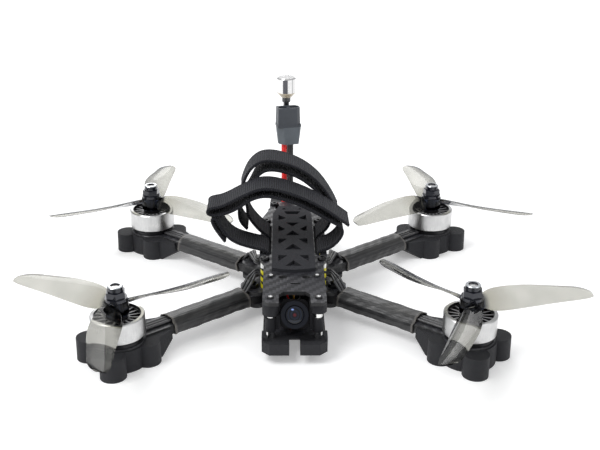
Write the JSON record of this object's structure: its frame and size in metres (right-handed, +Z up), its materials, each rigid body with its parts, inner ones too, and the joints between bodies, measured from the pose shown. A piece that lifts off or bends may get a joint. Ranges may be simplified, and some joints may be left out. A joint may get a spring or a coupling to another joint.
{
  "type": "fpv racing drone",
  "caption": "Quadcopter with a carbon X frame, outrunner motors, three-blade propellers, tilting camera, battery straps, leads and antenna.",
  "frame": {"origin": "centre of the bottom plate's underside, midway between the four motors; the feet reach 5.5 mm lower", "axes": "+Z up, -Y towards the camera (nose), +X towards the drone's left"},
  "size_m": [0.3049, 0.2715, 0.1104],
  "materials": {
    "carbon": "matt twill weave",
    "printed_black": "layered print, matt",
    "pad_black": "matt",
    "bright_aluminium": "satin",
    "yellow_bands": "anodised bands",
    "bright_steel": "satin",
    "black_screws": "black oxide",
    "rubber_black": "soft",
    "black_aluminium": "black anodised",
    "copper_windings": "enamelled copper on black laminations",
    "wire_grey": "silver-grey insulation",
    "circuit_board": "solder mask with parts",
    "button_white": "gloss",
    "capacitor_sleeve": "shrink sleeve",
    "camera_black": "moulded",
    "lens_black": "gloss with coated front glass",
    "webbing": "woven",
    "silicone_red": "silicone",
    "silicone_black": "silicone",
    "plug_dark": "moulded",
    "plug_grey": "moulded",
    "coax_black": "gloss",
    "chrome_head": "polished",
    "bell_silver": "satin ring, black spokes",
    "prop_smoke": "smoky translucent",
    "nut_black": "black anodised",
    "shrink_sleeve": "glossy shrink"
  },
  "bodies": {
    "frame": {"bottom_plate": "carbon", "mid_plate": "carbon", "top_plate": "carbon", "camera_mounts": "printed_black", "bumper": "printed_black", "battery_pad": "pad_black", "antenna_mount": "printed_black", "plain_standoffs": "bright_aluminium", "banded_standoffs": "yellow_bands", "front_top_screws": "bright_steel", "frame_screws": "black_screws", "motor_screws": "black_screws", "stack_bolts": "bright_steel", "grommets": "rubber_black", "motor_bases": "black_aluminium", "motor_bearings": "bright_steel", "stators": "copper_windings", "motor_wires": "wire_grey", "speed_controller": "circuit_board", "flight_controller": "circuit_board", "video_transmitter": "circuit_board", "receiver": "circuit_board", "capacitor": "capacitor_sleeve", "strap_front": "webbing", "strap_rear": "webbing", "power_lead_red": "silicone_red", "power_lead_black": "silicone_black", "power_plug": "plug_dark", "plug_cover": "plug_grey", "antenna_stem": "coax_black", "antenna_head": "chrome_head", "arm_front_left": "carbon", "foot_front_left": "printed_black", "arm_sleeve_front_left": "shrink_sleeve", "arm_front_right": "carbon", "foot_front_right": "printed_black", "arm_sleeve_front_right": "shrink_sleeve", "arm_rear_left": "carbon", "foot_rear_left": "printed_black", "arm_sleeve_rear_left": "shrink_sleeve", "arm_rear_right": "carbon", "foot_rear_right": "printed_black", "arm_sleeve_rear_right": "shrink_sleeve"},
    "rotor_front_left": {"motor_bell_front_left": "bell_silver", "propeller_front_left": "prop_smoke", "prop_nut_front_left": "nut_black"},
    "rotor_front_right": {"motor_bell_front_right": "bell_silver", "propeller_front_right": "prop_smoke", "prop_nut_front_right": "nut_black"},
    "rotor_rear_left": {"motor_bell_rear_left": "bell_silver", "propeller_rear_left": "prop_smoke", "prop_nut_rear_left": "nut_black"},
    "rotor_rear_right": {"motor_bell_rear_right": "bell_silver", "propeller_rear_right": "prop_smoke", "prop_nut_rear_right": "nut_black"},
    "camera": {"camera_body": "camera_black", "camera_lens": "lens_black", "camera_screws": "black_screws"},
    "boot_button": {"boot_button": "button_white"}
  },
  "joints": [
    {"name": "spin_front_left", "type": "hinge", "parent": "frame", "child": "rotor_front_left", "pos_m": [0.09, -0.071, 0.0215], "axis": [0, 0, 1], "continuous": true},
    {"name": "spin_front_right", "type": "hinge", "parent": "frame", "child": "rotor_front_right", "pos_m": [-0.09, -0.071, 0.0215], "axis": [0, 0, 1], "continuous": true},
    {"name": "spin_rear_left", "type": "hinge", "parent": "frame", "child": "rotor_rear_left", "pos_m": [0.09, 0.071, 0.0215], "axis": [0, 0, 1], "continuous": true},
    {"name": "spin_rear_right", "type": "hinge", "parent": "frame", "child": "rotor_rear_right", "pos_m": [-0.09, 0.071, 0.0215], "axis": [0, 0, 1], "continuous": true},
    {"name": "camera_tilt", "type": "hinge", "parent": "frame", "child": "camera", "pos_m": [0, -0.056, 0.013], "axis": [-1, 0, 0], "range_deg": [-25, 20]},
    {"name": "boot_button_press", "type": "slide", "parent": "frame", "child": "boot_button", "axis": [0, 0, -1], "range_m": [0, 0.0003], "stiffness_N_per_m": 800, "springref_m": -0.0003}
  ]
}
